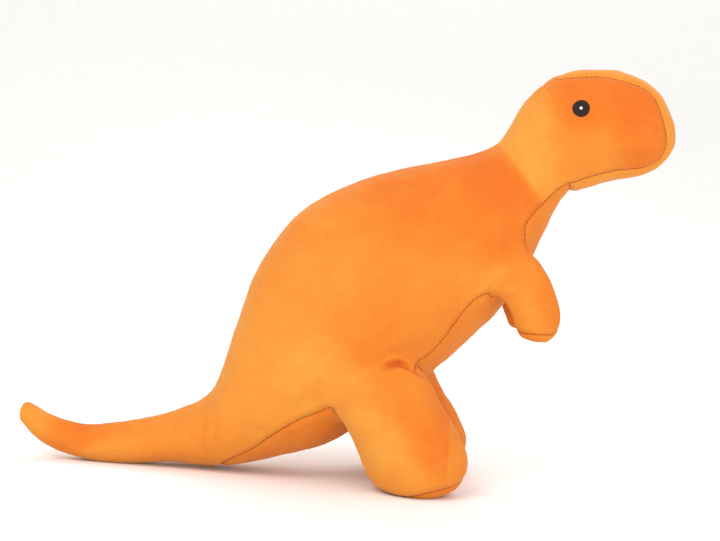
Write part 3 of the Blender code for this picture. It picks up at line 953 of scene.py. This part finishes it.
def stitchMeshes():
    tree = surfaceTree(points, quads)
    shape = [(-1.0, 0.15), (-0.6, 0.8), (0.0, 1.0), (0.6, 0.8), (1.0, 0.15)]
    found = []
    for line in seamLines:
        run = runAlong(line)
        for s in np.arange(seams["stitch"] / 2, run[-1] / mm - 1, seams["stitch"]):
            at = np.array([np.interp(s * mm, run, line[:, k]) for k in range(3)])
            ahead = np.array([np.interp((s + 0.6) * mm, run, line[:, k]) for k in range(3)]) - at
            seat, normal, _, _ = tree.find_nearest(Vector(at))
            if seat is None or np.linalg.norm(ahead) < 1e-9:
                continue
            normal = np.array(normal)
            ahead -= normal * ahead.dot(normal)
            ahead /= max(np.linalg.norm(ahead), 1e-9)
            across = np.cross(normal, ahead)
            middle = np.array(seat) + normal * stitch["lift"] * mm
            ring = []
            for u, wide in shape:
                for k in range(stitch["sides"]):
                    a = 2 * math.pi * k / stitch["sides"]
                    offset = (across * math.cos(a) + normal * math.sin(a)) * stitch["radius"] * wide
                    ring.append(middle + (ahead * u * stitch["length"] / 2 + offset) * mm)
            found.append(np.array(ring))
    sides, rows = stitch["sides"], len(shape)
    faces = [
        (r * sides + k, r * sides + (k + 1) % sides, (r + 1) * sides + (k + 1) % sides, (r + 1) * sides + k)
        for r in range(rows - 1)
        for k in range(sides)
    ]
    faces += [tuple(range(sides)), tuple(range((rows - 1) * sides, rows * sides))[::-1]]
    return found, faces


stitches, stitchFaces = stitchMeshes()
print(f"{len(stitches)} stitches")


def buildPieces():
    centres = points[quads].mean(1)
    owner = pieceOf(centres)
    stitchOwner = pieceOf(np.array([s.mean(0) for s in stitches]))
    names = ["torso"] + list(bends)
    pieces = {}
    for number, name in enumerate(names):
        picked = quads[owner == number]
        used, local = np.unique(picked, return_inverse=True)
        local = local.reshape(-1, 4)
        piecePoints = [points[used]]
        faces = [tuple(q) for q in local]
        normals = [outward[used]]
        # the painted light and shade tone goes with each point
        gapHere, paintedLightHere = [seamGap[used]], [paintedLightTone[used]]
        count = len(used)
        clothFaces = len(faces)
        for s in np.flatnonzero(stitchOwner == number):
            one = stitches[s]
            piecePoints.append(one)
            faces += [tuple(count + i for i in face) for face in stitchFaces]
            middle = one.mean(0)
            away = one - middle
            normals.append(away / np.maximum(np.linalg.norm(away, axis=1), 1e-12)[:, None])
            gapHere.append(np.zeros(len(one)))
            paintedLightHere.append(np.full(len(one), 0.5))
            count += len(one)
        allPoints = np.concatenate(piecePoints)
        pieceMesh = meshFrom(f"{name}_plush", allPoints, faces)
        for cloth in (sideCloth, gussetCloth, sewingThread):
            pieceMesh.materials.append(cloth)
        material = np.full(len(faces), 2)
        material[:clothFaces] = panel[picked].max(1) > 0
        pieceMesh.polygons.foreach_set("material_index", material)
        giveAttribute(pieceMesh, "rest", allPoints, "FLOAT_VECTOR")
        giveAttribute(pieceMesh, "seamGap", np.concatenate(gapHere))
        giveAttribute(pieceMesh, "paintedLightTone", np.concatenate(paintedLightHere))
        pieceMesh.polygons.foreach_set("use_smooth", np.ones(len(faces), bool))
        pieceMesh.normals_split_custom_set_from_vertices([tuple(n) for n in np.concatenate(normals)])
        pieces[name] = showMesh(f"{name}_plush", pieceMesh)
        print(f"{name}: {len(faces)} faces")
    return pieces


pieces = buildPieces()
bpy.data.meshes.remove(mesh)


# Embroidered eyes: threads laid side by side round a low dome, with a white glint.
def buildEye(side):
    tree = surfaceTree(points, quads)
    centre, normal = eyeCentres[side]
    normal = Vector(normal)
    forward = Vector((1, 0, 0)) - normal * normal.x
    forward.normalize()
    upward = normal.cross(forward)
    if upward.z < 0:
        upward.negate()
    parts = {}
    for name, radius, lift, height, rings, around, threads in (
        ("eye", eye["radius"], 0.0, eye["height"], 26, 256, eye["threads"]),
        ("eye_glint", eye["glintRadius"], eye["height"] * 0.93, eye["glintHeight"], 10, 48,
         eye["glintThreads"]),
    ):
        places, lay = [], []
        for i in range(rings + 1):
            r = i / rings
            for j in range(around):
                a = 2 * math.pi * j / around
                ridge = 0.5 + 0.5 * math.cos(threads * a + eye["twist"] * r)
                wobble = 1 + 0.012 * math.sin(3 * a + side) + 0.008 * math.sin(7 * a)  # hand guided
                spoke = forward * math.cos(a) + upward * math.sin(a)
                flat = Vector(centre) + spoke * r * radius * wobble * mm
                seat = tree.ray_cast(flat + normal * 10 * mm, -normal)[0] or flat
                dome = height * (1 - r**4) ** 0.5 if r < 1 else -eye["tuck"]
                fromRim = (r - eye["rimAt"]) / eye["rimWidth"]
                rim = eye["rimHeight"] * math.exp(-(fromRim**2)) * (name == "eye")
                satin = eye["threadHeight"] * (ridge - 0.5) * min(1, r * 2.5) * (r < 0.99)
                places.append(seat + normal * (lift + dome + rim + satin) * mm)
                lay.append(ridge)
        faces = []
        for i in range(rings):
            for j in range(around):
                k = (j + 1) % around
                faces.append((i * around + j, i * around + k, (i + 1) * around + k, (i + 1) * around + j))
        eyeMesh = meshFrom(name, places, faces)
        parts[name] = (eyeMesh, places, lay)
    return parts


word = {-1: "right", 1: "left"}
for side in (-1, 1):
    for name, (eyeMesh, places, lay) in buildEye(side).items():
        giveAttribute(eyeMesh, "rest", places, "FLOAT_VECTOR")
        giveAttribute(eyeMesh, "lay", lay)
        eyeMesh.materials.append(eyeThread if name == "eye" else glintThread)
        eyeMesh.polygons.foreach_set("use_smooth", np.ones(len(eyeMesh.polygons), bool))
        eyePiece = showMesh(f"{name}_{word[side]}_embroidery", eyeMesh)
        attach(eyePiece, "head")
        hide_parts(f"{name}_{word[side]}")

nodes = {
    "torso": ["side_right_panel", "side_left_panel", "belly_gusset", "rump_gusset", "body_stuffing"],
    "head": ["head_side_right", "head_side_left", "throat_gusset", "head_gusset", "head_stuffing"],
    "tail": ["tail_side_right", "tail_side_left", "tail_stuffing"],
}
for kind in ("arm", "leg"):
    for sideWord in ("right", "left"):
        limb = f"{kind}_{sideWord}"
        nodes[limb] = [f"{limb}_outer_panel", f"{limb}_inner_panel", f"{limb}_stuffing"]

for name, piece in pieces.items():
    if name == "torso":
        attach(piece, "torso")
    else:
        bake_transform(piece)
    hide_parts(*nodes[name])

# The stage: a pale sweep, soft light all round and a camera a little above the floor.
stage = {
    "reach": 3.0,
    "rise": 1.2,
    "bend": 0.7,
    "back": 1.3,
    "dark": "#F1F0EE",
    "light": "#F6F5F4",
    "world": 0.87,
}
lights = {
    "key": {"place": (-0.7, -1.1, 1.3), "size": 0.9, "power": 12.5, "colour": "#FFFBF6"},
    "fill": {"place": (1.0, -1.2, 0.5), "size": 1.2, "power": 8.0, "colour": "#FFFFFF"},
    "back": {"place": (0.2, 1.0, 1.2), "size": 1.0, "power": 8.0, "colour": "#FFFFFF"},
    "bounce": {"place": (-0.1, -0.9, 0.08), "size": 0.7, "power": 2.2, "colour": "#FFF4EA"},
}
view = {"distance": 0.95, "elevation": 3.2, "roll": 3.7, "lens": 79.1, "target": (0.0082, 0.0, 0.1249)}


def buildStage():
    profile = [(-stage["reach"], 0.0)]
    bendRadius, back = stage["bend"], stage["back"]
    for k in range(17):
        a = math.pi / 2 * k / 16
        profile.append((back + bendRadius * math.sin(a), bendRadius * (1 - math.cos(a))))
    profile.append((back + bendRadius, bendRadius + stage["rise"]))
    places, faces = [], []
    for y, z in profile:
        places += [(-stage["reach"], y, z), (stage["reach"], y, z)]
    for k in range(len(profile) - 1):
        faces.append((2 * k, 2 * k + 1, 2 * k + 3, 2 * k + 2))
    sweep = showMesh("sweep", meshFrom("sweep", places, faces))
    # matt background paper, with a faint cloudiness 17 mm across
    material, tree = newMaterial("paperSweep")
    coord = addNode(tree, "ShaderNodeTexCoord")
    fleck = addNode(tree, "ShaderNodeTexNoise", {"Scale": 60.0}, {"Vector": (coord, "Object")})
    ramp = addNode(tree, "ShaderNodeValToRGB", {}, {"Fac": (fleck, "Fac")})
    ramp.color_ramp.elements[0].color = linear(stage["dark"])
    ramp.color_ramp.elements[1].color = linear(stage["light"])
    shader = addNode(tree, "ShaderNodeBsdfPrincipled", {"Roughness": 0.9, "Specular IOR Level": 0.1},
                     {"Base Color": (ramp, "Color")})
    finishMaterial(tree, shader)
    sweep.data.materials.append(material)
    sweep.data.polygons.foreach_set("use_smooth", np.ones(len(sweep.data.polygons), bool))


def addLight(name, place, size, power, colour):
    data = bpy.data.lights.new(name, "AREA")
    data.shape = "SQUARE"
    data.size = size
    data.energy = power
    data.color = linear(colour)[:3]
    lamp = bpy.data.objects.new(name, data)
    lamp.location = place
    lamp.rotation_euler = (Vector(view["target"]) - Vector(place)).to_track_quat("-Z", "Y").to_euler()
    bpy.context.scene.collection.objects.link(lamp)


def addCamera():
    data = bpy.data.cameras.new("camera")
    data.sensor_width = 36.0
    data.lens = view["lens"]
    camera = bpy.data.objects.new("camera", data)
    tilt, roll = math.radians(view["elevation"]), math.radians(view["roll"])
    back = Vector((0, -math.cos(tilt), math.sin(tilt)))
    right, up = Vector((1, 0, 0)), Vector((0, math.sin(tilt), math.cos(tilt)))
    rolledRight = right * math.cos(roll) + up * math.sin(roll)
    rolledUp = up * math.cos(roll) - right * math.sin(roll)
    turned = Matrix((rolledRight, rolledUp, back)).transposed().to_4x4()
    camera.matrix_world = Matrix.Translation(Vector(view["target"]) + back * view["distance"]) @ turned
    bpy.context.scene.collection.objects.link(camera)
    bpy.context.scene.camera = camera


print("setting the stage")
buildStage()
for name, light in lights.items():
    addLight(name, light["place"], light["size"], light["power"], light["colour"])
world = bpy.data.worlds.new("studio")
world.use_nodes = True
world.node_tree.nodes["Background"].inputs["Color"].default_value = (1, 1, 1, 1)
world.node_tree.nodes["Background"].inputs["Strength"].default_value = stage["world"]
bpy.context.scene.world = world
bpy.context.scene.view_settings.view_transform = "Standard"
addCamera()
